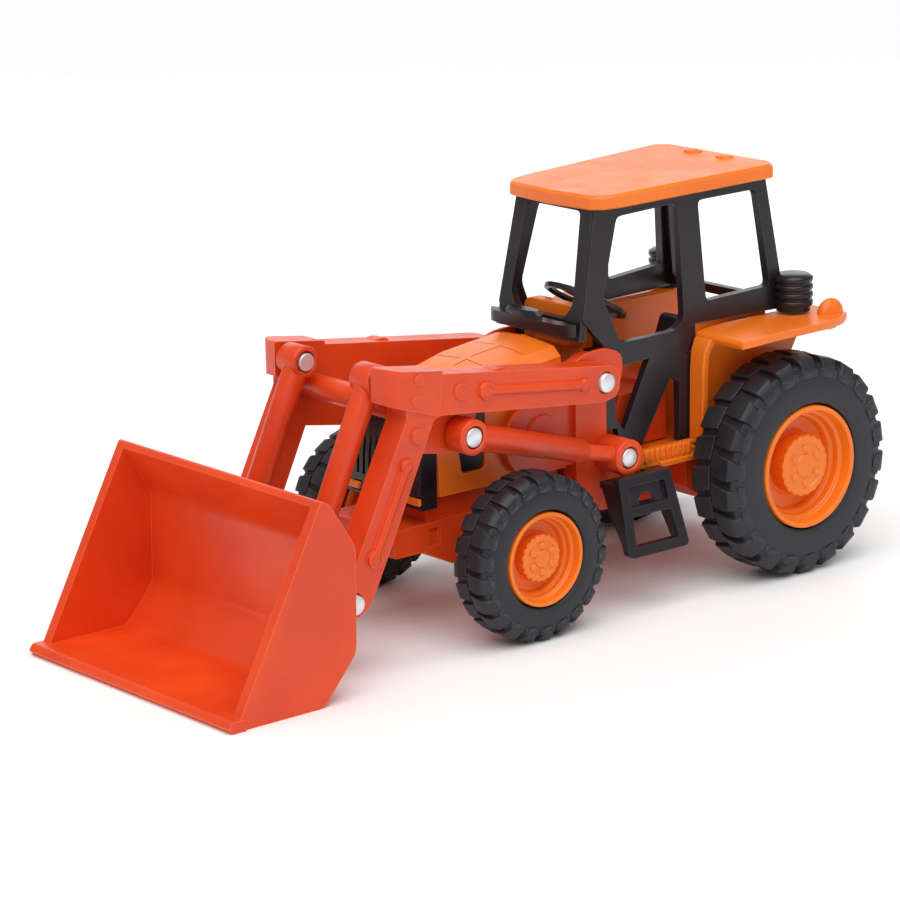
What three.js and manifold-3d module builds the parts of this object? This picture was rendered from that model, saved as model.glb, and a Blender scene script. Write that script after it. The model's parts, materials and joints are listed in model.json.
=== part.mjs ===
// A toy tractor with a front loader, in millimetres.
// +X is the tractor's left, -Y is forwards, +Z is up. The origin is on the ground, under the
// middle of the toy's bounding box. Every left-hand piece is made once and mirrored for the right.

import * as THREE from 'three';
import { mergeVertices } from 'three/addons/utils/BufferGeometryUtils.js';
import Module from 'manifold-3d';

const wasm = await Module();
wasm.setup();

// ---------------------------------------------------------------- driving dimensions

const GAP = 0.3; // clearance between neighbouring pieces

// Wheels: axle place, tyre and rim radii, middle of the wheel and its half width.
const REAR = { y: 54.75, z: 20, tyre: 20, rim: 11.16, x: 23.1, half: 5.6, lug: 3.4 };
const FRONT = { y: -6.06, z: 14.6, tyre: 14.6, rim: 8.2, x: 22.44, half: 4.25, lug: 2.5 };
const LUGS_PER_SIDE = 22;
const AXLE_RADIUS = 1.5;

// Loader pivots as (y, z).
const BOOM_PIVOT = [15.2, 40.4];
const LIFT_REAR = [20.1, 26.15];
const LIFT_FRONT = [-15.0, 36.1];
const TILT_TOP = [-29.9, 47.2];
const TILT_BOTTOM = [-42.0, 21.5];
const BUCKET_PIVOT = [-40.9, 12.2];

// Loader widths, measured from the middle plane.
const BOOM = { inner: 13.2, outer: 18.3, kneeOuter: 18.8, pinEnd: 19.0 };
const MAST = { inner: 9.2, outer: 12.9 };
const TILT_X = 9.75;
const LIFT_X = 16.8;
const TILT_PIN = { thick: 1.6, thin: 1.0, from: 7.2, end: 14.5 };
const PIN_RADIUS = 1.7;
const BORE_RADIUS = PIN_RADIUS + GAP;
const BUCKET = { side: 28.25, lip: 28.7, wall: 2 };

// Tractor body.
const HOOD = { front: -15.8, rear: 12.7, bottom: 24.3, half: 10.5, wall: 1.3 };
const FLOOR = { bottom: 22.3, top: 24.5, half: 16 };
const FENDER = { wall: 13.7, outer: 27, top: 45.3, thick: 1.5 };

// Cab: built with straight sides CAB.half from the middle, then tapered to its true width.
const CAB = { half: 12, wall: 1.4, frontY: 16.2, sillZ: 50, frontHalf: 11.3 };
const CAB_WIDENING = 0.09; // half width gained per mm towards the rear
const CAB_LEAN = 0.07; // half width lost per mm above the sill
const WINDSHIELD_RAKE = 0.19; // mm back per mm up
const REAR_RAKE = -0.13;
const ROOF_RISE = 0.03; // mm up per mm towards the rear

// ---------------------------------------------------------------- materials

const plastic = (color, roughness) => new THREE.MeshStandardMaterial({ color, roughness, metalness: 0 });
const steel = (color) => new THREE.MeshStandardMaterial({ color, roughness: 0.35, metalness: 0.9 });

const ORANGE = plastic(0xf2811d, 0.45);
const RED_ORANGE = plastic(0xe9512b, 0.5);
const BLACK = plastic(0x2b272c, 0.55);
const TYRE = plastic(0x2c2e35, 0.75);
const PIN_METAL = steel(0xe6e7ea);
const AXLE_STEEL = steel(0x9a9ca0);

// ---------------------------------------------------------------- solids and booleans

// Makes a manifold solid of a closed geometry, turning its faces out if they point in.
function solid(geometry) {
  const bare = geometry.clone();
  bare.deleteAttribute('normal');
  bare.deleteAttribute('uv');
  const merged = mergeVertices(bare, 1e-4);
  const corners = merged.index.array;
  const faces = [];
  for (let i = 0; i < corners.length; i += 3) {
    const [a, b, c] = [corners[i], corners[i + 1], corners[i + 2]];
    if (a !== b && b !== c && c !== a) faces.push([a, b, c]);
  }
  const build = (triangles) => new wasm.Manifold(new wasm.Mesh({
    numProp: 3,
    vertProperties: new Float32Array(merged.attributes.position.array),
    triVerts: new Uint32Array(triangles.flat()),
  }));
  const made = build(faces);
  return made.volume() > 0 ? made : build(faces.map(([a, b, c]) => [a, c, b]));
}

function geometryOf(manifold) {
  const mesh = manifold.getMesh();
  const geometry = new THREE.BufferGeometry();
  geometry.setAttribute('position', new THREE.BufferAttribute(new Float32Array(mesh.vertProperties), 3));
  geometry.setIndex(new THREE.BufferAttribute(new Uint32Array(mesh.triVerts), 1));
  return geometry;
}

const join = (first, ...others) => others.reduce((whole, piece) => whole.add(piece), first);
const cut = (first, ...others) => others.reduce((whole, piece) => whole.subtract(piece), first);

// Moves every vertex of a solid by a function of its place.
function warp(manifold, move) {
  const geometry = geometryOf(manifold);
  const position = geometry.attributes.position;
  const point = new THREE.Vector3();
  for (let i = 0; i < position.count; i += 1) {
    move(point.fromBufferAttribute(position, i));
    position.setXYZ(i, point.x, point.y, point.z);
  }
  return solid(geometry);
}

const mirrored = (manifold) => warp(manifold, (point) => { point.x = -point.x; });

// ---------------------------------------------------------------- basic shapes

const AXIS_X = new THREE.Vector3(1, 0, 0);
const AXIS_Y = new THREE.Vector3(0, 1, 0);
const AXIS_Z = new THREE.Vector3(0, 0, 1);

// A closed outline. A corner is [u, v] or [u, v, r], where r rounds it off.
function outline(corners) {
  const at = (index) => new THREE.Vector2(...corners[(index + corners.length) % corners.length]);
  const shape = new THREE.Shape();
  corners.forEach(([u, v, radius = 0], index) => {
    const corner = new THREE.Vector2(u, v);
    const before = at(index - 1).sub(corner).setLength(radius).add(corner);
    const after = at(index + 1).sub(corner).setLength(radius).add(corner);
    if (index === 0) shape.moveTo(before.x, before.y);
    else shape.lineTo(before.x, before.y);
    if (radius > 0) shape.quadraticCurveTo(u, v, after.x, after.y);
  });
  shape.closePath();
  return shape;
}

function extruded(corners, depth, basis, origin) {
  const geometry = new THREE.ExtrudeGeometry(outline(corners), { depth, bevelEnabled: false, curveSegments: 3 });
  return solid(geometry.applyMatrix4(basis.setPosition(...origin)));
}

// Plates: an outline in (y, z) between two x, in (x, z) between two y, and in (x, y) between two z.
function plateX(corners, from, to) {
  return extruded(corners, to - from, new THREE.Matrix4().makeBasis(AXIS_Y, AXIS_Z, AXIS_X), [from, 0, 0]);
}

function plateY(corners, from, to) {
  const backwards = AXIS_Y.clone().negate();
  return extruded(corners, to - from, new THREE.Matrix4().makeBasis(AXIS_X, AXIS_Z, backwards), [0, to, 0]);
}

function plateZ(corners, from, to) {
  return extruded(corners, to - from, new THREE.Matrix4(), [0, 0, from]);
}

function block([x0, x1], [y0, y1], [z0, z1]) {
  const geometry = new THREE.BoxGeometry(x1 - x0, y1 - y0, z1 - z0);
  return solid(geometry.translate((x0 + x1) / 2, (y0 + y1) / 2, (z0 + z1) / 2));
}

// A round bar along X through the (y, z) place.
function barX([y, z], radius, from, to, sides = 14) {
  const geometry = new THREE.CylinderGeometry(radius, radius, to - from, sides);
  return solid(geometry.rotateZ(Math.PI / 2).translate((from + to) / 2, y, z));
}

// A round bar in the plane x, from one (y, z) place towards another, between two distances.
function barTowards(x, start, end, radius, from, to, sides = 14) {
  const direction = new THREE.Vector3(0, end[0] - start[0], end[1] - start[1]).normalize();
  const geometry = new THREE.CylinderGeometry(radius, radius, to - from, sides);
  geometry.translate(0, (from + to) / 2, 0);
  geometry.applyQuaternion(new THREE.Quaternion().setFromUnitVectors(AXIS_Y, direction));
  return solid(geometry.translate(x, ...start));
}

// A turned solid about the X axis, from a profile of [x, radius].
function turnedX(profile, sides) {
  const geometry = new THREE.LatheGeometry(profile.map(([x, r]) => new THREE.Vector2(r, x)), sides);
  return solid(geometry.rotateZ(-Math.PI / 2));
}

// A turned solid about a vertical axis, from a profile of [radius, z].
function turnedZ(profile, sides) {
  const geometry = new THREE.LatheGeometry(profile.map(([r, z]) => new THREE.Vector2(r, z)), sides);
  return solid(geometry.rotateX(Math.PI / 2));
}

// A skin over a row of convex rings that all have the same number of points, closed at both ends.
function loft(rings) {
  const size = rings[0].length;
  const triangles = [];
  const quad = (a, b, c, d) => triangles.push(a, b, c, a, c, d);
  for (let ring = 0; ring + 1 < rings.length; ring += 1) {
    for (let i = 0; i < size; i += 1) {
      const next = (i + 1) % size;
      quad(ring * size + i, ring * size + next, (ring + 1) * size + next, (ring + 1) * size + i);
    }
  }
  const last = (rings.length - 1) * size;
  for (let i = 1; i + 1 < size; i += 1) {
    triangles.push(0, i + 1, i);
    triangles.push(last, last + i, last + i + 1);
  }
  const geometry = new THREE.BufferGeometry();
  geometry.setAttribute('position', new THREE.Float32BufferAttribute(rings.flat(2), 3));
  geometry.setIndex(triangles);
  return solid(geometry);
}

const distance = (a, b) => Math.hypot(b[0] - a[0], b[1] - a[1]);

// ---------------------------------------------------------------- the scene graph

const tractor = new THREE.Group();

function addPiece(name, manifold, material, group = tractor) {
  const mesh = new THREE.Mesh(geometryOf(manifold), material);
  mesh.name = name;
  group.add(mesh);
}

function addPair(name, manifold, material) {
  addPiece(`${name}_left`, manifold, material);
  addPiece(`${name}_right`, mirrored(manifold), material);
}

// ---------------------------------------------------------------- wheels

// The tyre, about the X axis and centred on it: a carcass with two rows of staggered bar lugs.
// Each half has one facet per lug, and the lug stands in the middle of its facet.
function makeTyre({ tyre, rim, half, lug }) {
  const bore = rim + GAP;
  const profile = [
    [0, bore], [half - 0.6, bore], [half, bore + 0.8], [half, tyre * 0.87], [0, tyre * 0.93], [0, bore],
  ];
  const footZ = -tyre * 0.84;
  const slant = 0.2;
  const halfPitch = Math.PI / LUGS_PER_SIDE;
  const spin = (angle) => (point) => point.applyAxisAngle(AXIS_X, angle);
  const side = [warp(turnedX(profile, LUGS_PER_SIDE), spin(halfPitch))];
  const ring = (inner, outer, width, z) => [
    [inner, -width, z], [outer, -width, z], [outer, width, z], [inner, width, z],
  ];
  for (let i = 0; i < LUGS_PER_SIDE; i += 1) {
    const bar = loft([ring(0.1, half - 0.2, lug * 0.36, footZ), ring(0.3, half - 1, lug * 0.22, -tyre)]);
    const slanted = warp(bar, (point) => { point.y += (point.x - half / 2) * slant; });
    side.push(warp(slanted, spin(i * halfPitch * 2)));
  }
  const outerHalf = join(...side);
  const innerHalf = warp(mirrored(outerHalf), spin(halfPitch));
  return join(outerHalf, innerHalf);
}

// The x of a rim's hub face, and of the end of the blind bore behind it, from the wheel's middle.
const hubFace = ({ half }) => half - 1.3;
const boreEnd = (wheel) => hubFace(wheel) - 1.8;

// The rim, with its dished face towards +X and a blind bore for the axle from behind.
function makeRim(wheel) {
  const { rim, half } = wheel;
  return turnedX([
    [boreEnd(wheel), 0], [boreEnd(wheel), AXLE_RADIUS + GAP], [-half + 0.4, AXLE_RADIUS + GAP],
    [-half + 0.4, rim * 0.36], [-half * 0.2, rim * 0.4], [-half * 0.2, rim * 0.8],
    [-half, rim * 0.88], [-half, rim], [half, rim], [half, rim * 0.92],
    [half * 0.75, rim * 0.86], [half * 0.1, rim * 0.76], [half * 0.05, rim * 0.5],
    [hubFace(wheel), rim * 0.48], [hubFace(wheel), 0],
  ], LUGS_PER_SIDE);
}

function addWheels(end, wheel) {
  const axleGroup = new THREE.Group();
  axleGroup.position.set(0, wheel.y, wheel.z);
  tractor.add(axleGroup);
  const axleEnd = wheel.x + boreEnd(wheel) - GAP;
  addPiece(`${end}_axle`, barX([0, 0], AXLE_RADIUS, -axleEnd, axleEnd), AXLE_STEEL, axleGroup);
  const tyre = makeTyre(wheel);
  const rim = makeRim(wheel);
  for (const [side, sign] of [['left', 1], ['right', -1]]) {
    const hub = new THREE.Group();
    hub.position.x = sign * wheel.x;
    axleGroup.add(hub);
    addPiece(`${end}_tyre_${side}`, sign > 0 ? tyre : mirrored(tyre), TYRE, hub);
    addPiece(`${end}_rim_${side}`, sign > 0 ? rim : mirrored(rim), ORANGE, hub);
  }
}

// ---------------------------------------------------------------- chassis and body

function makeChassis() {
  const bumper = plateX([
    [-25.2, 14.8, 0.6], [-18.6, 14.8], [-12.4, 11.6], [-2, 11.6], [-2, 20], [-14, 20],
    [-16.6, 19.8], [-25.2, 19.6, 0.6],
  ], -9.2, 9.2);
  const beam = plateX([
    [-17, 14.9], [-12, 11.7], [2, 11.7], [8, 14], [40, 14], [40, 22], [13, 22], [12.6, 24], [-14.5, 24],
    [-15.2, 21.9], [-17, 21.9],
  ], -8, 8);
  const axleHousing = plateX([
    [39.5, 16], [46, 12, 1], [63, 12, 1], [66, 15, 1], [66, 22], [39.5, 22],
  ], -12.4, 12.4);
  const hitch = plateX([[65.5, 15.5], [70.5, 15.5, 1], [70.5, 18, 1], [65.5, 18]], -2.2, 2.2);
  const recess = block([8.6, 9.3], [-17.6, -14.9], [15.6, 18.7]);
  const whole = join(bumper, beam, axleHousing, hitch);
  const axleBores = [FRONT, REAR].map(({ y, z }) => barX([y, z], AXLE_RADIUS + GAP, -13, 13));
  const screwHoles = SCREWS.map(([y, z]) => screwShape(y, z, 1.4 + GAP, 0.9 + GAP, GAP));
  return cut(whole, ...axleBores, ...screwHoles, recess, mirrored(recess));
}

// The two screws under the chassis, as the (y, z) of the face that each is sunk into.
const SCREWS = [[4, 12.55], [30, 14]];

function screwShape(y, faceZ, headRadius, shankRadius, extra) {
  const top = faceZ + 6 + extra;
  const headTop = faceZ + 1.6 + extra;
  const profile = [
    [0, faceZ + 0.2 - extra * 4], [headRadius, faceZ + 0.2 - extra * 4], [headRadius, headTop],
    [shankRadius, headTop], [shankRadius, top], [0, top],
  ];
  return warp(turnedZ(profile, 12), (point) => { point.y += y; });
}

// Half widths and drops of the hood's cross-section below its ridge.
const HOOD_SECTION = [[0, 0], [7.6, 0.75], [9.4, 2.3]];
// The hood's ridge line as (y, z).
const HOOD_RIDGE = [[-15.8, 39.9], [-14, 40.8], [-8, 42.9], [0, 44.9], [12.7, 46.4]];

function hoodRing([y, ridge], inset, bottom) {
  const left = HOOD_SECTION.map(([x, drop]) => [Math.max(x - inset, 0), y, ridge - drop - inset]);
  left.push([HOOD.half - inset, y, bottom]);
  const right = left.slice(1).reverse().map(([x, , z]) => [-x, y, z]);
  return [...left, ...right];
}

// The dark openings in the hood's sides: an outline in (y, z), grown or shrunk by a margin.
function sideOpening(margin) {
  return [
    [-11.9 - margin, 39.2 + margin], [-10.8 - margin, 27.4 - margin, 0.8],
    [-5.6 + margin, 27.4 - margin, 0.8], [-4.8 + margin, 39.2 + margin],
  ];
}

function makeHood() {
  const outer = loft(HOOD_RIDGE.map((station) => hoodRing(station, 0, HOOD.bottom)));
  const inner = loft(HOOD_RIDGE.map(([y, z], index) => {
    const beyond = index === 0 ? -1 : Number(index === HOOD_RIDGE.length - 1) * -HOOD.wall;
    return hoodRing([y + beyond, z], HOOD.wall, HOOD.bottom - 1);
  }));
  return cut(outer, inner, plateX(sideOpening(0), -12, 12));
}

// The black block inside the hood, with a raised pad that fills each side opening.
function makeEngineInsert() {
  const block0 = block([-8, 8], [-14, 10.8], [24.6, 35]);
  return join(block0, plateX(sideOpening(-GAP), -9.9, 9.9).intersect(block([-12, 12], [-20, 0], [25, 37.3])));
}

function makeGrille() {
  const nose = plateX([
    [-16.1, 22.3], [-19.9, 22.3, 0.6], [-19.5, 30], [-18.6, 36.5, 1.4], [-16.1, 38.9],
  ], -9.9, 9.9);
  const bars = [];
  for (let x = -7.2; x < 7.3; x += 1.6) bars.push(block([x - 0.35, x + 0.35], [-21, -18.95], [26, 34.5]));
  const lampSeat = block([6.1, 9.9 + GAP], [-21, -19.1], [22.9, 24.8]);
  return cut(nose, ...bars, lampSeat, mirrored(lampSeat));
}

function makeTurnLamp() {
  return block([6.4, 9.9], [-20.2, -19.4], [23.2, 24.5]);
}

// The floor of the cab with its ribbed tread edges, and the walled deck between the rear wheels.
function makeRearBody() {
  const floor = plateZ([
    [-8.8, 14.2], [8.8, 14.2], [8.8, 24.2], [FLOOR.half, 24.2, 1], [FLOOR.half, 38.7],
    [13.1, 38.7], [13.1, 43], [-13.1, 43], [-13.1, 38.7], [-FLOOR.half, 38.7], [-FLOOR.half, 24.2, 1],
    [-8.8, 24.2],
  ], FLOOR.bottom, FLOOR.top);
  const ribs = [];
  for (let i = 0; i < 9; i += 1) {
    const y = 26 + i * 1.3;
    ribs.push(block([FLOOR.half - 0.8, FLOOR.half + 0.5], [y, y + 0.65], [FLOOR.bottom + 1.4, FLOOR.top + 1.2]));
  }
  const curb = block([FLOOR.half - 1.6, FLOOR.half - 0.3], [25.6, 38.4], [FLOOR.top - 0.2, FLOOR.top + 1.2]);
  const ledge = block([FLOOR.half - 1, FLOOR.half + 0.8], [29.5, 38.4], [FLOOR.bottom, FLOOR.bottom + 1]);
  const deck = plateX([[41.4, 23], [64, 23], [64, 33, 1], [50, 36.5, 1], [41.4, 36.5]], -13.1, 13.1);
  const innerWall = block([10.4, 13.1], [41.4, 58.8], [33, 45.8]);
  const side = join(curb, ledge, innerWall, ...ribs);
  return join(floor, deck, side, mirrored(side));
}

// A rear fender: the wall inside the tyre, the flange in front of it and the plate above it.
function makeFender() {
  const { wall, outer, top, thick } = FENDER;
  const side = plateX([
    [39, 24.2], [63, 24.2], [63.6, 38], [66, 42], [66, top - thick], [42, top - thick - 0.2],
    [39.4, top - 2.6],
  ], wall, wall + 1.4);
  const front = plateX([
    [39, 24.8], [40.3, 24.8], [40.7, 42], [42.4, top - thick - 0.2], [41.4, top - 1.2], [39.3, 43],
  ], wall, 17.2);
  const cover = plateZ([
    [wall, 41], [outer - 1.5, 40.2, 1], [outer, 43, 2], [outer, 62, 3], [23.6, 69.4, 1.5], [wall, 68.6, 2],
  ], top - thick, top);
  const slopedCover = warp(cover, (point) => {
    const droop = Math.max(0, 52 - point.y) / 12;
    point.z -= droop * droop * 0.9 * ((point.x - wall) / (outer - wall));
  });
  const marker = barX([66.4, top], 2.9, 20.4, 23.6, 18);
  const aboveCover = block([19, 25], [60, 71], [top - 0.5, top + 4]);
  return join(slopedCover, side, front, marker.intersect(aboveCover));
}

// The stepped moulding over the gearbox, seen through the open lower door.
function makeCabTub() {
  return plateX([
    [15, 24.8], [38.2, 24.8], [38.2, 36, 0.8], [34, 36, 0.8], [33.6, 34.6], [26.8, 34.6, 0.6],
    [26.4, 32.6], [21.4, 32.4, 0.6], [21, 30.8], [15, 30.8],
  ], -8.8, 8.8);
}

function makeDashboard() {
  const pedestal = plateX([[17.6, 31.1], [20.8, 31.1], [22.6, 44.4], [17.6, 44.4]], -4.5, 4.5);
  const panel = plateY([[-7.9, 44], [7.9, 44], [7.9, 51.3, 2.4], [-7.9, 51.3, 2.4]], 19.2, 21.6);
  return join(pedestal, panel);
}

function makeSeat() {
  const cushion = plateX([[41.8, 36.8], [50.5, 36.8], [50.5, 39, 0.5], [41.8, 39.4, 0.8]], -6, 6);
  const back = plateX([[48, 38.5], [50.5, 38.5], [52, 43.6, 0.9], [50, 43.6, 0.9]], -5.4, 5.4);
  return join(cushion, back);
}

const WHEEL_CENTRE = [26.9, 50.4];
const WHEEL_TILT = Math.PI / 6;

// Turns a solid made about the vertical axis onto the steering column's slanted axis.
function onColumn(manifold) {
  return warp(manifold, (point) => {
    point.applyAxisAngle(AXIS_X, -WHEEL_TILT);
    point.add(new THREE.Vector3(0, ...WHEEL_CENTRE));
  });
}

function makeSteeringWheel() {
  const ring = turnedZ([[6.4, 0], [7.0, -0.6], [7.8, -0.4], [7.8, 0.4], [7.0, 0.6], [6.4, 0]], 20);
  const hub = turnedZ([[0, -0.8], [1.7, -0.8], [1.7, 0.6], [0, 0.6]], 12);
  const spokes = [0, 1, 2].map((i) => {
    const spoke = new THREE.BoxGeometry(1.2, 6, 0.7).translate(0, 3.9, 0);
    return solid(spoke.rotateZ((i * 2 * Math.PI) / 3 + Math.PI));
  });
  return onColumn(join(ring, hub, ...spokes));
}

function makeSteeringColumn() {
  return onColumn(turnedZ([[0, -7.0], [1.1, -7.0], [0.9, -1.1], [0, -1.1]], 10))
    .subtract(block([-10, 10], [0, 23.1], [30, 44.7]));
}

// ---------------------------------------------------------------- cab

// Brings a straight-sided cab piece to its true width and front or rear slope.
function taperCab(manifold, rake = 0) {
  return warp(manifold, (point) => {
    point.y += rake * (point.z - CAB.sillZ);
    const above = Math.max(0, point.z - CAB.sillZ);
    const half = CAB.frontHalf + CAB_WIDENING * (point.y - CAB.frontY) - CAB_LEAN * above;
    point.x *= half / CAB.half;
  });
}

function cabSide(from, to) {
  const frame = plateX([
    [16.3, 50, 0.4], [20.6, 45], [20.6, 29.7], [23.4, 29.7], [24.4, 26.2], [28.8, 25.6], [35.4, 37.2, 0.5],
    [37.3, 36], [37.3, 25.1], [40.9, 25.1], [40.9, 46.1], [60.2, 46.1], [60.8, 50], [58.1, 70.6],
    [20.1, 69.4],
  ], from, to);
  const doorWindow = [
    [24.8, 67.2, 1], [20.8, 53.4, 1], [24.4, 44.9, 1], [36.6, 45.4, 1.4], [38.4, 47.4, 1], [38.3, 68, 1],
  ];
  const rearWindow = [[42.7, 67.9, 1], [43.4, 49.8, 1], [58, 50.6, 1], [56, 68.3, 1]];
  const lowerDoor = [[23.2, 40.8], [23.2, 31.2], [25, 29], [30.7, 41.2]];
  const slit = [[38.6, 40.7], [41.5, 40.7], [41.5, 41.2], [38.6, 41.2]];
  const openings = [doorWindow, rearWindow, lowerDoor, slit];
  return taperCab(cut(frame, ...openings.map((corners) => plateX(corners, -20, 20))));
}

function makeCabFrame() {
  const { half, wall } = CAB;
  const inset = half - 0.2;
  const front = plateY([
    [-inset, 46.3], [inset, 46.3], [inset, 69.4], [-inset, 69.4],
  ], CAB.frontY, CAB.frontY + 1.5).subtract(plateY([
    [-8.3, 68.4, 1], [-8.9, 52.4, 1], [-6.7, 49.7, 1], [6.7, 49.7, 1], [8.9, 52.4, 1], [8.3, 68.4, 1],
  ], 10, 20));
  const rear = plateY([
    [-inset, 46.3], [inset, 46.3], [inset, 70.4], [-inset, 70.4],
  ], 59.3, 60.8).subtract(plateY([
    [-9.6, 67.8, 1], [-9.6, 48, 1], [9.6, 48, 1], [9.6, 67.8, 1],
  ], 50, 70));
  return join(
    cabSide(half - wall, half),
    cabSide(-half, -half + wall),
    taperCab(front, WINDSHIELD_RAKE),
    taperCab(rear, REAR_RAKE),
  );
}

// The shelf around the foot of the windshield, with a low oval hump on it.
function makeDashCowl() {
  const shelf = plateZ([
    [-11.6, 15.0, 1], [-9.8, 12.9, 1.6], [0, 12.4], [9.8, 12.9, 1.6], [11.6, 15.0, 1],
  ], 47.4, 49.5);
  const hump = turnedZ([[0, 49], [4.7, 49], [4.7, 50.1], [3.9, 50.8], [0, 50.8]], 20);
  const ovalHump = warp(hump, (point) => {
    point.y = point.y * 0.28 + 13.8;
    point.x -= 1.5;
  });
  return join(shelf, ovalHump);
}

// The roof: a panel with two bumps on top and a lip below that sits round the cab frame.
function makeRoof() {
  const plan = (inset, z) => [
    [-15.6, 58.2], [-13.4, 60.1], [13.4, 60.1], [15.6, 58.2], [13.4, 23.8], [12.6, 20.6], [10.6, 18.8],
    [0, 17.9], [-10.6, 18.8], [-12.6, 20.6], [-13.4, 23.8],
  ].map(([x, y]) => {
    const middle = 39;
    const shrunkX = x - Math.sign(x) * inset;
    const shrunkY = y - Math.sign(y - middle) * inset;
    return [shrunkX, shrunkY, z + ROOF_RISE * (y - middle)];
  }).reverse();
  const panel = loft([plan(0.2, 69.65), plan(0, 69.9), plan(0, 71.7), plan(0.5, 72.2)]);
  const pocket = loft([plan(0.6, 69), plan(0.6, 70.35)]);
  const bump = warp(turnedZ([[0, 71], [1.9, 71], [1.9, 73.0], [1.3, 73.25], [0, 73.25]], 14), (point) => {
    point.x += 4.2;
    point.y = point.y * 0.8 + 57.2;
  });
  return join(cut(panel, pocket), bump, mirrored(bump));
}

// A ribbed round lamp that stands on the fender behind the cab, hollowed where the cab's corner is.
function makeLampStack() {
  const base = 45.7;
  const profile = [[0, base]];
  for (let rib = 0; rib < 3; rib += 1) {
    const z = base + 1.3 + rib * 1.8;
    profile.push([3.1, rib === 0 ? base : z - 0.3], [3.1, z], [3.6, z + 0.3], [3.6, z + 1.3], [3.1, z + 1.5]);
  }
  profile.push([2.9, 52.4], [0, 52.4]);
  const stack = warp(turnedZ(profile, 14), (point) => {
    point.x += 17.2;
    point.y += 62;
  });
  return stack.subtract(block([10, 15.9], [55, 61.6], [40, 60]));
}

// ---------------------------------------------------------------- steps

// The ladder under the door: a leaning frame with side cheeks, a tread and an arched panel.
function makeStep() {
  const lean = (23.4 - 9.9) * 0.267;
  const frame = plateX([
    [15.6, 23.4, 0.6], [14.8, 9.9, 1.2], [29.1, 9.9, 1.2], [27.7, 23.4, 0.6],
  ], 19.4, 20.9);
  const lower = plateX([[17.2, 16.7, 0.4], [16.9, 11.6, 0.6], [27.1, 11.6, 0.6], [26.3, 16.7, 0.4]], 10, 30);
  const upper = plateX([[17.4, 21.8, 0.4], [17.3, 18.3, 0.4], [26.2, 18.3, 0.4], [26, 21.8, 0.4]], 20.1, 30);
  const arch = barX([21.7, 18.3], 1.9, 10, 30, 20).intersect(block([10, 30], [18, 26], [18.3, 22]));
  const cheek = (y) => plateY([[15.9, 22.2], [19.6, 22.2], [19.6, 10.4], [19.2, 10.4], [16.6, 17.5]], y, y + 1.2);
  const leaning = warp(join(cut(frame, lower, upper, arch), cheek(15.5), cheek(26.8)), (point) => {
    const down = Math.max(0, 23.4 - point.z);
    point.x += (down * lean) / 13.5;
  });
  const tread = block([15.9, 19.9], [15.6, 27.6], [21.1, 22.2]);
  const bracket = plateY([[12.4, 20.4], [19.9, 20.4], [19.9, 23.2], [17.3, 23.2], [17.3, 22], [12.4, 22]], 24, 28);
  return join(leaning, tread, bracket);
}

// ---------------------------------------------------------------- loader

function makeMast() {
  const post = plateX([
    [13, 17], [20.2, 17], [20.2, 43.6, 1.6], [17, 44.4, 1], [13, 42.6],
  ], MAST.inner, MAST.outer);
  const cap = plateX([
    [12.2, 38], [24, 38, 2], [24.1, 43.2, 1.4], [20.4, 45, 2], [15.5, 44.6, 1.5], [12.2, 43.2, 0.5],
  ], MAST.outer - 0.8, MAST.outer);
  const foot = block([8.3, MAST.inner + 0.2], [13.6, 19.6], [17, 21.6]);
  const sidePlate = plateX([
    [13.5, 25], [0, 25, 3], [-3, 31, 3], [0, 37, 3], [13.5, 37],
  ], HOOD.half + GAP, HOOD.half + 1.3);
  const cylinderLug = barX(LIFT_REAR, 3.1, MAST.inner, MAST.outer, 20);
  const boss = barX([6, 32], 3.2, HOOD.half + 1, HOOD.half + 1.9, 20);
  const bores = [BOOM_PIVOT, LIFT_REAR].map((place) => barX(place, BORE_RADIUS, 8, 14));
  return cut(join(post, cap, foot, sidePlate, cylinderLug, boss), ...bores);
}

// A round strip that stands out of the boom's outer face, with a knob at each end.
function makeStrip(start, end, radius, startKnob, endKnob) {
  const { outer } = BOOM;
  return [
    barTowards(outer, start, end, radius, 0, distance(start, end), 8),
    barX(start, startKnob, outer - 1, outer + 0.7, 10),
    barX(end, endKnob, outer - 1, outer + 0.7, 10),
  ];
}

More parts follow.
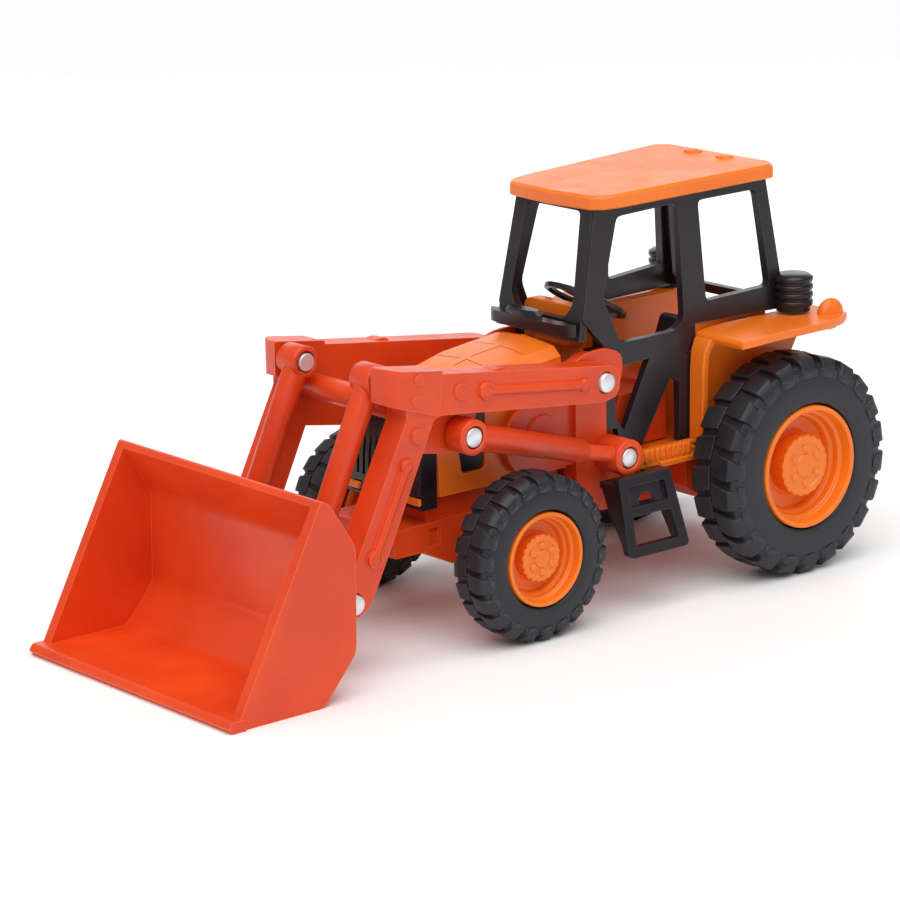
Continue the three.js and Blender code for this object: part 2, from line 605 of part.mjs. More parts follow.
// One boom: the upper arm, the lower arm, the wider knee block and the web for the lift cylinder.
function makeBoom() {
  const { inner, outer, kneeOuter } = BOOM;
  const arms = plateX([
    [-24, 48.4], [-2.8, 45.7], [14.6, 43.5, 1], [18.5, 43.1, 2.6], [18.5, 37.4, 2.6], [14, 37.1, 1],
    [-3, 38.9], [-21.5, 41, 0.5], [-23.2, 40.6, 0.5], [-32.6, 21], [-37.9, 10.6, 2], [-42.4, 9.3, 1.6],
    [-43.7, 12.4, 1.6], [-37.3, 25], [-29, 41.5], [-29, 46],
  ], inner, outer);
  const knee = plateX([
    [-32.4, 50.3, 0.8], [-21.4, 48.7, 0.4], [-22.4, 41.1, 0.5], [-32.4, 44.2, 0.5],
  ], inner, kneeOuter);
  const corner = plateZ([
    [inner - 1, -36], [inner - 1, -32.5], [16.6, -31.7, 0.8], [18.2, -30.6, 0.8], [19, -28.8],
    [19.5, -28.8], [19.5, -36],
  ], 40, 52);
  const web = plateX([
    [-24, 40], [-10, 40], [-11.6, 36.2, 1], [-13, 33.4, 2], [-17, 32.9, 2], [-26, 34.4],
  ], inner, inner + 0.9);
  const hose = makeStrip([-11.9, 43.6], [10.1, 40.9], 0.8, 1.5, 1.1);
  const rib = makeStrip([-29.4, 33.6], [-36.6, 19.2], 0.95, 1.3, 1.5);
  const oval = warp(barX([-8, 45.8], 1, inner + 1.4, outer - 0.9, 12), (point) => {
    point.y = -8 + (point.y + 8) * 2;
  });
  const dots = [
    barX([-17.3, 44.4], 1.4, outer - 1, outer + 0.4, 10),
    barX([-26.8, 38.4], 1.3, outer - 1, outer + 0.5, 10),
    barX([-26.7, 48], 0.9, kneeOuter - 1, kneeOuter + 0.3, 8),
    barX([-27.3, 44.5], 0.9, kneeOuter - 1, kneeOuter + 0.3, 8),
  ];
  const bores = [BOOM_PIVOT, BUCKET_PIVOT, LIFT_FRONT].map((place) => barX(place, BORE_RADIUS, 10, 20));
  const tiltBore = barX(TILT_TOP, TILT_PIN.thin + GAP, 10, TILT_PIN.end + GAP);
  return cut(join(arms, cut(knee, corner), web, ...hose, ...rib, oval, ...dots), ...bores, tiltBore);
}

function makeCrossTube() {
  return barX([-25.9, 41.9], 2.2, -BOOM.inner + 0.1, BOOM.inner - 0.1, 20);
}

// The plain pins, each with its outer end standing just proud of the boom.
function makePin(place, inner, outer = BOOM.pinEnd, radius = PIN_RADIUS) {
  return barX(place, radius, inner, outer);
}

// The tilt cylinder's upper pin, with a thinner end that enters the boom.
function makeTiltTopPin() {
  const { thick, thin, from, end } = TILT_PIN;
  const head = makePin(TILT_TOP, from, BOOM.inner - 0.2, thick);
  return join(head, makePin(TILT_TOP, BOOM.inner - 0.4, end, thin));
}

// A hydraulic barrel with an eye at its pivot and a blind bore that opens at the other end.
function makeBarrel({ x, pivot, target, eye, radius, length, bore, eyeFrom, eyeTo, pin }) {
  const tube = barTowards(x, pivot, target, radius, 0, length, 16);
  const hollow = barTowards(x, pivot, target, bore, length - 10.6, length + 1, 14);
  return cut(join(tube, barX(pivot, eye, eyeFrom, eyeTo, 20)), hollow, barX(pivot, pin + GAP, 0, 30));
}

function makeLiftBarrel() {
  return makeBarrel({
    x: LIFT_X, pivot: LIFT_FRONT, target: LIFT_REAR, eye: 3.5, radius: 2.35, length: 27,
    bore: 1.75, eyeFrom: BOOM.inner + 1.4, eyeTo: BOOM.pinEnd, pin: PIN_RADIUS,
  });
}

// The lift rod: thick where it shows at rest, thinner where it slides in the barrel.
function makeLiftRod() {
  const mouth = distance(LIFT_REAR, LIFT_FRONT) - 27;
  const thick = barTowards(LIFT_X, LIFT_REAR, LIFT_FRONT, 1.85, 0, mouth - GAP);
  const stem = barTowards(LIFT_X, LIFT_REAR, LIFT_FRONT, 1.25, 0, 18.8);
  const eye = barX(LIFT_REAR, 3.25, MAST.outer + 0.2, BOOM.pinEnd, 20);
  return cut(join(thick, stem, eye), barX(LIFT_REAR, BORE_RADIUS, 10, 20));
}

function makeTiltBarrel() {
  return makeBarrel({
    x: TILT_X, pivot: TILT_TOP, target: TILT_BOTTOM, eye: 2.75, radius: 2.2, length: 24.2,
    bore: 1.5, eyeFrom: TILT_PIN.from + GAP, eyeTo: BOOM.inner - 0.6, pin: TILT_PIN.thick,
  });
}

const TILT_EYE = { from: 8.2, to: 11.0 };

function makeTiltRod() {
  const stem = barTowards(TILT_X, TILT_BOTTOM, TILT_TOP, 0.95, 0, 11.7, 12);
  const eye = barX(TILT_BOTTOM, 2.1, TILT_EYE.from, TILT_EYE.to, 16);
  return cut(join(stem, eye), barX(TILT_BOTTOM, 1.2 + GAP, 0, 20));
}

// ---------------------------------------------------------------- bucket

function makeBucket() {
  const { side, lip, wall } = BUCKET;
  const shell = plateX([
    [-72, 2.1], [-72, 0], [-55.5, 0, 1.2], [-48.5, 7.9, 1.5], [-48.1, 25.8, 1.5], [-53.2, 33.7, 0.8],
    [-54.7, 34.6, 0.8],
  ], -side, side);
  const hollow = plateX([
    [-90, wall], [-56.2, wall, 1.5], [-50.5, 8.6, 1.5], [-50.1, 25.2, 1.5], [-55.4, 33.4, 0.8],
    [-58.4, 39], [-90, 39],
  ], -side + wall, side - wall);
  const lipPlate = plateX([[-71.4, 0], [-71.4, wall], [-74, wall, 0.5], [-74.75, 0.9], [-74, 0]], -lip, lip);
  const bracket = plateX([
    [-49.6, 8.6], [-41.5, 8.9, 2], [-38.3, 11.6, 2], [-39.7, 20.5, 1.2], [-40.2, 23.4, 1.2],
    [-43.6, 24, 1.2], [-49.6, 25.2],
  ], 6.8, BOOM.inner - GAP);
  const slot = plateX([[-36, 16.6], [-45.6, 16.6, 1], [-45.6, 30], [-36, 30]], TILT_EYE.from - GAP, TILT_EYE.to + 0.6);
  const pivotBore = barX(BUCKET_PIVOT, BORE_RADIUS, 0, 20);
  const tiltBore = barX(TILT_BOTTOM, 1.2 + GAP, 0, 20);
  const mount = cut(bracket, slot, pivotBore, tiltBore).subtract(hollow);
  return join(cut(shell, hollow), lipPlate, mount, mirrored(mount));
}

// ---------------------------------------------------------------- assembly

addPiece('chassis', makeChassis(), RED_ORANGE);
SCREWS.forEach(([y, z], index) => {
  addPiece(`chassis_screw_${index + 1}`, screwShape(y, z, 1.4, 0.9, 0), AXLE_STEEL);
});
addPiece('hood', makeHood(), ORANGE);
addPiece('engine_insert', makeEngineInsert(), BLACK);
addPiece('grille', makeGrille(), BLACK);
addPair('turn_lamp', makeTurnLamp(), ORANGE);
addPiece('rear_body', makeRearBody(), ORANGE);
addPair('fender', makeFender(), ORANGE);
addPiece('cab_tub', makeCabTub(), RED_ORANGE);
addPiece('dashboard', makeDashboard(), ORANGE);
addPiece('seat', makeSeat(), BLACK);
addPiece('steering_column', makeSteeringColumn(), BLACK);
addPiece('steering_wheel', makeSteeringWheel(), BLACK);
addPiece('cab_frame', makeCabFrame(), BLACK);
addPiece('dash_cowl', makeDashCowl(), BLACK);
addPiece('roof', makeRoof(), ORANGE);
addPair('lamp_stack', makeLampStack(), BLACK);
addPair('step', makeStep(), BLACK);
addPair('mast', makeMast(), RED_ORANGE);
addPair('boom_pivot_pin', makePin(BOOM_PIVOT, MAST.inner, BOOM.pinEnd), PIN_METAL);
addPair('lift_rear_pin', makePin(LIFT_REAR, MAST.inner), PIN_METAL);
addWheels('front', FRONT);
addWheels('rear', REAR);
addPair('boom', makeBoom(), RED_ORANGE);
addPiece('boom_cross_tube', makeCrossTube(), RED_ORANGE);
addPair('lift_front_pin', makePin(LIFT_FRONT, BOOM.inner - 0.2), PIN_METAL);
addPair('tilt_top_pin', makeTiltTopPin(), PIN_METAL);
addPair('lift_barrel', makeLiftBarrel(), RED_ORANGE);
addPair('lift_rod', makeLiftRod(), RED_ORANGE);
addPair('tilt_barrel', makeTiltBarrel(), RED_ORANGE);
addPair('tilt_rod', makeTiltRod(), RED_ORANGE);
addPiece('bucket', makeBucket(), RED_ORANGE);
addPair('bucket_pin', makePin(BUCKET_PIVOT, 7.0), PIN_METAL);
addPair('tilt_bottom_pin', makePin(TILT_BOTTOM, 7.0, BOOM.inner - GAP - 0.1, 1.2), PIN_METAL);

export default tractor;
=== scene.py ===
# The looks of the toy front loader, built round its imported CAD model. Lengths in mm are turned to
# metres by MM. +X is the tractor's left, -Y is forwards and +Z is up.
import json
import math

import bmesh
import bpy
from mathutils import Matrix, Vector


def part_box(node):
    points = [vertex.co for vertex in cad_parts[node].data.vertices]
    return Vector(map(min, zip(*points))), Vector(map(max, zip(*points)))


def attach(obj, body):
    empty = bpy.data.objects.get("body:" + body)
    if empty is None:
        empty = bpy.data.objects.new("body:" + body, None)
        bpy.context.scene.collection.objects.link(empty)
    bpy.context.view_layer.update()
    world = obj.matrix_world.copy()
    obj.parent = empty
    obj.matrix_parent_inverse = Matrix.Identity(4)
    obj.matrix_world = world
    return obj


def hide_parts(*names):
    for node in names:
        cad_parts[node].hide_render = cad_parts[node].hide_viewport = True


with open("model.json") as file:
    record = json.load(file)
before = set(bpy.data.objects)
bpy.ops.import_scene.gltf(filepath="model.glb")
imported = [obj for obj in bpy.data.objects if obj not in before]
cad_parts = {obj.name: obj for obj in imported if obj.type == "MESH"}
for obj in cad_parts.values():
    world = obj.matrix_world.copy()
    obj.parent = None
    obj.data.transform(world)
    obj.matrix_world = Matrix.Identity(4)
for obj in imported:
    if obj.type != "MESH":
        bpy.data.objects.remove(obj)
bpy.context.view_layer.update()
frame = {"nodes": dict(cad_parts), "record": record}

MM = 0.001
LUGS_PER_SIDE = 22
AXIS_X = Vector((1, 0, 0))
SIDES = {"left": 1, "right": -1}

scene = bpy.context.scene


# ---------------------------------------------------------------- materials


class Nodes:
    """A material's node tree, with short calls to add and link its nodes."""

    def __init__(self, name):
        self.material = bpy.data.materials.new(name)
        self.material.use_nodes = True
        self.tree = self.material.node_tree
        self.shader = self.tree.nodes["Principled BSDF"]
        self.place = self.add("ShaderNodeTexCoord").outputs["Object"]

    def add(self, kind, **inputs):
        node = self.tree.nodes.new(kind)
        for name, value in inputs.items():
            node.inputs[name.replace("_", " ")].default_value = value
        return node

    def link(self, output, socket):
        self.tree.links.new(output, socket)

    def noise(self, scale, detail=3.0, roughness=0.5):
        node = self.add("ShaderNodeTexNoise", Scale=scale, Detail=detail, Roughness=roughness)
        self.link(self.place, node.inputs["Vector"])
        return node.outputs["Fac"]

    def spread(self, value, low, high, to_low=0.0, to_high=1.0):
        node = self.add("ShaderNodeMapRange", From_Min=low, From_Max=high, To_Min=to_low, To_Max=to_high)
        self.link(value, node.inputs["Value"])
        return node.outputs["Result"]

    def mix(self, factor, first, second):
        node = self.tree.nodes.new("ShaderNodeMix")
        node.data_type = "RGBA"
        self.link(factor, node.inputs["Factor"])
        for socket, colour in ((node.inputs["A"], first), (node.inputs["B"], second)):
            if isinstance(colour, tuple):
                socket.default_value = (*colour, 1.0)
            else:
                self.link(colour, socket)
        return node.outputs["Result"]

    def edges(self, radius):
        """1 on edges sharper than the radius, 0 on flat faces."""
        soft = self.add("ShaderNodeBevel", Radius=radius)
        soft.samples = 4
        plain = self.add("ShaderNodeNewGeometry")
        dot = self.tree.nodes.new("ShaderNodeVectorMath")
        dot.operation = "DOT_PRODUCT"
        self.link(soft.outputs["Normal"], dot.inputs[0])
        self.link(plain.outputs["Normal"], dot.inputs[1])
        return self.spread(dot.outputs["Value"], 0.985, 0.80)

    def bump(self, height, strength, distance):
        node = self.add("ShaderNodeBump", Strength=strength, Distance=distance)
        self.link(height, node.inputs["Height"])
        self.link(node.outputs["Normal"], self.shader.inputs["Normal"])

    def set(self, **values):
        for name, value in values.items():
            self.shader.inputs[name.replace("_", " ")].default_value = value


# How many noise cells of each kind a material has to the metre.
CLOUDS, DUST, HANDLING, TURNING = 55.0, 90.0, 160.0, 420.0
PITS, GRAIN, POLISH = 1300.0, 1800.0, 2600.0


def moulded_plastic(name, colour, deep, edge, roughness, glow=0.0):
    """Injection-moulded plastic: cloudy colour, paler rubbed edges, uneven gloss and a fine grain."""
    nodes = Nodes(name)
    clouds = nodes.spread(nodes.noise(CLOUDS, 4.0), 0.35, 0.68)
    tint = nodes.mix(clouds, deep, colour)
    worn = nodes.mix(nodes.edges(0.35 * MM), tint, edge)
    nodes.link(worn, nodes.shader.inputs["Base Color"])
    handled = nodes.spread(nodes.noise(HANDLING, 5.0, 0.6), 0.3, 0.7, roughness - 0.06, roughness + 0.09)
    nodes.link(handled, nodes.shader.inputs["Roughness"])
    nodes.bump(nodes.noise(GRAIN, 2.0), 0.06, 0.08 * MM)
    nodes.set(IOR=1.5)
    if glow > 0:
        nodes.set(Subsurface_Weight=glow, Subsurface_Scale=1.5 * MM, Subsurface_Radius=(1.0, 0.35, 0.12))
    return nodes.material


def tyre_rubber():
    """Near-black rubber, dusted paler on its raised edges, with a matt pitted skin."""
    nodes = Nodes("tyre_rubber")
    patches = nodes.spread(nodes.noise(DUST, 5.0, 0.6), 0.3, 0.7)
    tint = nodes.mix(patches, (0.011, 0.012, 0.016), (0.020, 0.021, 0.026))
    dusty = nodes.mix(nodes.edges(0.4 * MM), tint, (0.045, 0.045, 0.053))
    nodes.link(dusty, nodes.shader.inputs["Base Color"])
    nodes.link(nodes.spread(patches, 0.0, 1.0, 0.42, 0.58), nodes.shader.inputs["Roughness"])
    nodes.bump(nodes.noise(PITS, 3.0), 0.15, 0.1 * MM)
    nodes.set(IOR=1.48)
    return nodes.material


def bright_metal(name, colour, dull, roughness):
    """Plated metal with a fine grain and slightly duller patches."""
    nodes = Nodes(name)
    patches = nodes.spread(nodes.noise(TURNING, 4.0), 0.35, 0.7)
    nodes.link(nodes.mix(patches, colour, dull), nodes.shader.inputs["Base Color"])
    uneven = nodes.spread(patches, 0.0, 1.0, roughness - 0.06, roughness + 0.1)
    nodes.link(uneven, nodes.shader.inputs["Roughness"])
    nodes.bump(nodes.noise(POLISH, 2.0), 0.12, 0.05 * MM)
    nodes.set(Metallic=0.75)
    return nodes.material


MATERIALS = {
    "body_orange": moulded_plastic(
        "body_orange", (0.93, 0.205, 0.010), (0.86, 0.165, 0.007), (0.98, 0.34, 0.05), 0.34
    ),
    "loader_red": moulded_plastic(
        "loader_red", (0.82, 0.075, 0.009), (0.70, 0.050, 0.007), (0.94, 0.15, 0.030), 0.34, glow=0.10
    ),
    "trim_black": moulded_plastic(
        "trim_black", (0.017, 0.013, 0.017), (0.009, 0.007, 0.010), (0.055, 0.046, 0.052), 0.30
    ),
    "tyre_rubber": tyre_rubber(),
    "pin_metal": bright_metal("pin_metal", (0.93, 0.93, 0.95), (0.78, 0.79, 0.82), 0.42),
    "axle_steel": bright_metal("axle_steel", (0.45, 0.46, 0.48), (0.30, 0.30, 0.32), 0.35),
}

# A darker orange for the hood's panel lines: painted shade that stands for the shade falling inside the
# moulded grooves.
GROOVE_SHADE_PAINT = moulded_plastic(
    "groove_shade_paint", (0.50, 0.085, 0.008), (0.42, 0.065, 0.006), (0.60, 0.12, 0.015), 0.5
)


# ---------------------------------------------------------------- carried-over CAD nodes


CAD_ROUNDING = 0.22


def dress(node, slot):
    """Gives a CAD node its material, and small rounded edges by modifiers alone."""
    obj = frame["nodes"][node]
    obj.data.materials.clear()
    obj.data.materials.append(MATERIALS[slot])
    obj.data.shade_smooth()
    weld = obj.modifiers.new("weld", "WELD")
    weld.merge_threshold = 0.002 * MM
    planar = obj.modifiers.new("planar", "DECIMATE")
    planar.decimate_type = "DISSOLVE"
    planar.angle_limit = math.radians(1.0)
    rounding = obj.modifiers.new("bevel", "BEVEL")
    rounding.width = CAD_ROUNDING * MM
    rounding.segments = 2
    rounding.limit_method = "ANGLE"
    rounding.angle_limit = math.radians(33)
    rounding.use_clamp_overlap = True
    weighted = obj.modifiers.new("normals", "WEIGHTED_NORMAL")
    weighted.keep_sharp = True


def dress_all():
    for entry in frame["record"]["subparts"]:
        dress(entry["node"], entry["material_slot"])


# ---------------------------------------------------------------- building fine pieces


def add_ring_points(bm, start, direction, across, along, radius, sides):
    """One ring of vertices round an axis, or a single vertex where the radius is 0."""
    centre = start + direction * along
    if radius == 0:
        return [bm.verts.new(centre)] * sides
    up = direction.cross(across)
    ring = []
    for i in range(sides):
        angle = 2 * math.pi * i / sides
        reach = radius(angle) if callable(radius) else radius
        ring.append(bm.verts.new(centre + (across * math.cos(angle) + up * math.sin(angle)) * reach))
    return ring


def add_turned(bm, profile, start, direction, sides=48, closed=False):
    """A turned solid along an axis, from a profile of (distance along, radius), in mm."""
    direction = direction.normalized()
    across = direction.orthogonal().normalized()
    steps = [(a * MM, r if callable(r) else r * MM) for a, r in profile]
    rings = [add_ring_points(bm, start, direction, across, a, r, sides) for a, r in steps]
    pairs = list(zip(rings, rings[1:] + rings[:1])) if closed else list(zip(rings, rings[1:]))
    for first, second in pairs:
        for i in range(sides):
            j = (i + 1) % sides
            corners = list(dict.fromkeys((first[i], first[j], second[j], second[i])))
            if len(corners) > 2:
                bm.faces.new(corners)


def add_skin(bm, rings):
    """Joins rows of equally many vertices by quads, and closes both ends."""
    for first, second in zip(rings, rings[1:]):
        for i in range(len(first)):
            j = (i + 1) % len(first)
            bm.faces.new((first[i], first[j], second[j], second[i]))
    bm.faces.new(rings[0])
    bm.faces.new(rings[-1])


def finish_mesh(name, bm, slot, body, nodes, sharp=35, bevel=0.0):
    """Makes the object, gives it its material and body, and lets it stand for its CAD nodes."""
    bmesh.ops.recalc_face_normals(bm, faces=bm.faces)
    mesh = bpy.data.meshes.new(name)
    bm.to_mesh(mesh)
    bm.free()
    obj = bpy.data.objects.new(name, mesh)
    scene.collection.objects.link(obj)
    mesh.materials.append(MATERIALS[slot])
    mesh.shade_smooth()
    if bevel > 0:
        rounding = obj.modifiers.new("bevel", "BEVEL")
        rounding.width = bevel * MM
        rounding.segments = 2
        rounding.limit_method = "ANGLE"
        rounding.angle_limit = math.radians(sharp)
        obj.modifiers.new("normals", "WEIGHTED_NORMAL")
    else:
        mesh.set_sharp_from_angle(angle=math.radians(sharp))
    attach(obj, body)
    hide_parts(*nodes)
    return obj


def centre(node):
    low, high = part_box(node)
    return (low + high) / 2


def radius_mm(node):
    low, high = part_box(node)
    return max(high.y - low.y, high.z - low.z) / 2 / MM


def softened(profile, amount):
    """Replaces each inner corner of a profile by two points, so that the turned edge is rounded."""
    result = [profile[0]]
    for before, corner, after in zip(profile, profile[1:], profile[2:]):
        here = Vector(corner)
        for neighbour in (before, after):
            step = Vector(neighbour) - here
            reach = min(amount, step.length * 0.45)
            result.append(tuple(here + step.normalized() * reach))
    result.append(profile[-1])
    return result


# ---------------------------------------------------------------- wheels


def wheel_facts(end, side):
    """The wheel's centre, its tyre and rim radii and its half width in mm, from the frame."""
    low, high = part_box(f"{end}_rim_{side}")
    middle = (low + high) / 2
    tyre_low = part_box(f"{end}_tyre_{side}")[0]
    middle.y = centre(f"{end}_axle").y
    middle.z = centre(f"{end}_axle").z
    rim = (high.z - low.z) / 2 / MM
    tyre = (middle.z - tyre_low.z) / MM
    half = (high.x - low.x) / 2 / MM
    return middle, tyre, rim, half


# Half the angle that a lug takes up at its foot and at its top, in radians, and its slant.
LUG_FOOT, LUG_TOP, LUG_SLANT = 0.128, 0.108, 0.15


def add_lug(bm, middle, outward, tyre, half, angle):
    """One tread bar: a wide crowned block that runs over the shoulder and down the sidewall.

    Its sections are (distance from the tyre's middle plane, share of the tyre's radius, share of the width).
    """
    sections = [
        (0.05, 0.90, 0.98), (0.15, 0.985, 1.0), (half * 0.45, 0.998, 0.98), (half - 1.25, 0.988, 0.90),
        (half - 0.55, 0.955, 0.78), (half - 0.15, 0.91, 0.62), (half - 0.04, 0.86, 0.40),
    ]
    rings = []
    for x, reach, width in sections:
        shift = (x - half / 2) * LUG_SLANT / tyre
        foot = min(reach - 0.02, 0.90) * 0.96
        wide, narrow = LUG_FOOT * width, LUG_TOP * width
        ring = []
        for sideways, r in ((-wide, foot), (-narrow, reach), (narrow, reach), (wide, foot)):
            turned = Matrix.Rotation(angle + sideways + shift, 3, "X") @ Vector((0, 0, -r * tyre))
            ring.append(bm.verts.new(middle + Vector((outward * x, turned.y, turned.z)) * MM))
        rings.append(ring)
    add_skin(bm, rings)


def add_shoulder_rib(bm, middle, outward, tyre, half, angle):
    """One of the short radial ribs between the lugs' ends and the smooth sidewall."""
    rings = []
    for x, width in ((half - 0.6, 0.055), (half - 0.03, 0.035)):
        ring = []
        for r, sideways in ((0.82, -width), (0.89, -width), (0.89, width), (0.82, width)):
            turned = Matrix.Rotation(angle + sideways, 3, "X") @ Vector((0, 0, -r * tyre))
            ring.append(bm.verts.new(middle + Vector((outward * x, turned.y, turned.z)) * MM))
        rings.append(ring)
    add_skin(bm, rings)


def build_tyre(end, side):
    middle, tyre, rim, half = wheel_facts(end, side)
    bm = bmesh.new()
    bore = rim + 0.3
    outer_side = [
        (half * 0.4, tyre * 0.945), (half - 1.2, tyre * 0.93), (half - 0.5, tyre * 0.88),
        (half - 0.15, tyre * 0.80), (half, tyre * 0.72), (half, bore + 0.9), (half - 0.1, bore + 0.3),
        (half - 0.5, bore),
    ]
    inner_side = [(-x, radius) for x, radius in reversed(outer_side)]
    add_turned(bm, inner_side + outer_side, middle, AXIS_X, 88, closed=True)
    pitch = 2 * math.pi / LUGS_PER_SIDE
    for i in range(LUGS_PER_SIDE):
        for outward in (1, -1):
            stagger = 0 if outward == SIDES[side] else 0.5
            add_lug(bm, middle, outward, tyre, half, (i + stagger) * pitch)
            add_shoulder_rib(bm, middle, outward, tyre, half, (i + 0.25) * pitch)
            add_shoulder_rib(bm, middle, outward, tyre, half, (i + 0.75) * pitch)
    node = f"{end}_tyre_{side}"
    finish_mesh(f"{node}_fine", bm, "tyre_rubber", f"{end}_wheels", [node], 30, 0.16)


HUB_SCALLOPS = 20
WHEEL_BOLTS = 6


def scallop(radius, depth):
    """A radius in metres that waves in and out as it goes round the hub."""
    return lambda angle: (radius + depth * abs(math.cos(HUB_SCALLOPS * angle / 2))) * MM


def build_rim(end, side):
    middle, _tyre, rim, half = wheel_facts(end, side)
    outward = AXIS_X * SIDES[side]
    face = half - 1.3
    hub = rim * 0.48
    bm = bmesh.new()
    profile = [
        (-half + 0.4, 2.0), (-half + 0.4, rim * 0.36), (-half * 0.2, rim * 0.4), (-half * 0.2, rim * 0.8),
        (-half, rim * 0.88), (-half, rim), (half - 0.15, rim), (half, rim - 0.2), (half, rim * 0.93),
        (half - 0.2, rim * 0.915), (half * 0.62, rim * 0.89), (half * 0.58, rim * 0.84),
        (half * 0.34, rim * 0.82), (half * 0.30, rim * 0.77), (half * 0.05, rim * 0.74),
        (half * 0.02, rim * 0.55), (half * 0.1, hub * 1.02),
    ]
    add_turned(bm, softened(profile, 0.12) + [(half * 0.1, hub * 0.6)], middle, outward, 72)
    edge = [
        (half * 0.05, scallop(hub, 0.0)), (face - 0.25, scallop(hub, 0.28)),
        (face, scallop(hub - 0.25, 0.18)),
    ]
    top = [
        (face, hub * 0.80), (face - 0.18, hub * 0.77), (face - 0.18, hub * 0.40), (face + 0.1, hub * 0.36),
        (face + 0.1, 0),
    ]
    add_turned(bm, edge + top, middle, outward, 120)
    for i in range(WHEEL_BOLTS):
        angle = math.pi * (2 * i + 1) / WHEEL_BOLTS
        offset = Vector((0, math.cos(angle), math.sin(angle))) * hub * 0.60 * MM
        bolt = [(face - 0.4, 0.62), (face + 0.22, 0.62), (face + 0.35, 0.45), (face + 0.35, 0)]
        add_turned(bm, bolt, middle + offset, outward, 12)
    node = f"{end}_rim_{side}"
    finish_mesh(f"{node}_fine", bm, "body_orange", f"{end}_wheels", [node], 28)


def build_wheels():
    for end in ("front", "rear"):
        for side in SIDES:
            build_tyre(end, side)
            build_rim(end, side)


# ---------------------------------------------------------------- pins, tubes and cylinders


BAR_CHAMFER = 0.25
EYE_CHAMFER = 0.3
BORE_DEPTH = 10.6


def chamfered_end(radius, chamfer, along, inward):
    """A bar's rounded near end, as a profile whose middle point is set by two shares of the chamfer."""
    return [(0, radius - chamfer), (chamfer * along, radius - chamfer * inward), (chamfer, radius)]


def build_bar(node, slot, body):
    """A round bar along X in place of a faceted CAD bar, with chamfered ends."""
    low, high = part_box(node)
    radius = radius_mm(node)
    length = (high.x - low.x) / MM
    bm = bmesh.new()
    start = centre(node)
    start.x = low.x
    near_end = chamfered_end(radius, BAR_CHAMFER, 0.4, 0.3)
    far_end = [(length - along, r) for along, r in reversed(near_end)]
    add_turned(bm, [(0, 0), *near_end, *far_end, (length, 0)], start, AXIS_X, 48)
    finish_mesh(f"{node}_fine", bm, slot, body, [node], 50)


def build_pins():
    bodies = {
        "boom_pivot_pin": "tractor", "lift_rear_pin": "tractor", "lift_front_pin": "boom",
        "bucket_pin": "bucket", "tilt_bottom_pin": "bucket",
    }
    for side in SIDES:
        for pin, body in bodies.items():
            build_bar(f"{pin}_{side}", "pin_metal", body)
    build_bar("boom_cross_tube", "loader_red", "boom")


def eye_ring(bm, place, radius, hole, low, high):
    """A bored eye about the X axis through a place, between two x in metres."""
    length = (high - low) / MM
    start = Vector((low, place.y, place.z))
    near_end = [(0.15, hole), (0, hole + 0.15), *chamfered_end(radius, EYE_CHAMFER, 0.35, 0.35)]
    far_end = [(length - along, r) for along, r in reversed(near_end)]
    profile = near_end + far_end
    add_turned(bm, profile, start, AXIS_X, 48, closed=True)


def build_cylinder(kind, side, top_pin, bottom_pin, facts):
    """The barrel and the rod of one cylinder, between two pins."""
    sign = SIDES[side]
    top = centre(f"{top_pin}_{side}")
    bottom = centre(f"{bottom_pin}_{side}")
    top.x = bottom.x = facts["x"] * MM * sign
    axis = (bottom - top).normalized()

    radius, length, bore = facts["radius"], facts["length"], facts["bore"]
    mouth, shoulder, floor = facts["mouth"], facts["eye"] - 1.0, length - BORE_DEPTH
    bm = bmesh.new()
    tube = [
        (shoulder, 0.2), (shoulder, radius), (length - 0.3, mouth), (length, mouth - 0.2),
        (length, bore + 0.1), (length - 0.2, bore), (floor, bore), (floor, 0.2),
    ]
    add_turned(bm, tube, top, axis, 48, closed=True)
    low, high = sorted(x * MM * sign for x in facts["barrel_eye_x"])
    eye_ring(bm, top, facts["eye"], facts["hole"], low, high)
    node = f"{kind}_barrel_{side}"
    finish_mesh(f"{node}_fine", bm, "loader_red", f"{kind}_barrels", [node], 40)

    bm = bmesh.new()
    add_turned(bm, softened(facts["rod"], 0.15), bottom, -axis, 40)
    low, high = sorted(x * MM * sign for x in facts["rod_eye_x"])
    eye_ring(bm, bottom, facts["rod_eye"], facts["rod_hole"], low, high)
    node = f"{kind}_rod_{side}"
    finish_mesh(f"{node}_fine", bm, "loader_red", f"{kind}_rods", [node], 40)


# Each cylinder's middle plane, then its barrel's radii and length, then its rod's profile and eye. The
# radius tapers to that of the mouth, and the profile is of (distance from the rod's pin, radius).
LIFT = {
    "x": 16.8, "radius": 2.4, "mouth": 2.05, "length": 27.0, "bore": 1.7, "eye": 3.1, "hole": 2.0,
    "barrel_eye_x": (14.6, 19.0),
    "rod": [(2.3, 0), (2.3, 1.4), (9.1, 1.4), (9.1, 1.2), (18.8, 1.2), (18.8, 0)],
    "rod_eye": 3.25, "rod_hole": 2.0, "rod_eye_x": (13.1, 19.0),
}
TILT = {
    "x": 9.75, "radius": 2.2, "mouth": 2.15, "length": 24.2, "bore": 1.5, "eye": 2.75, "hole": 1.9,
    "barrel_eye_x": (7.5, 12.6),
    "rod": [(1.7, 0), (1.7, 0.95), (11.7, 0.95), (11.7, 0)],
    "rod_eye": 2.1, "rod_hole": 1.5, "rod_eye_x": (8.2, 11.0),
}


def build_cylinders():
    for side in SIDES:
        build_cylinder("lift", side, "lift_front_pin", "lift_rear_pin", LIFT)
        build_cylinder("tilt", side, "tilt_top_pin", "tilt_bottom_pin", TILT)


# ---------------------------------------------------------------- small moulded details


def drop_onto(node, x, y):
    """The height, in mm, of a CAD node's top surface at a place given in mm."""
    target = frame["nodes"][node]
    to_node = target.matrix_world.inverted()
    start = to_node @ Vector((x * MM, y * MM, 0.2))
    down = to_node.to_3x3() @ Vector((0, 0, -1))
    _hit, place, _normal, _face = target.ray_cast(start, down)
    return (target.matrix_world @ place).z / MM


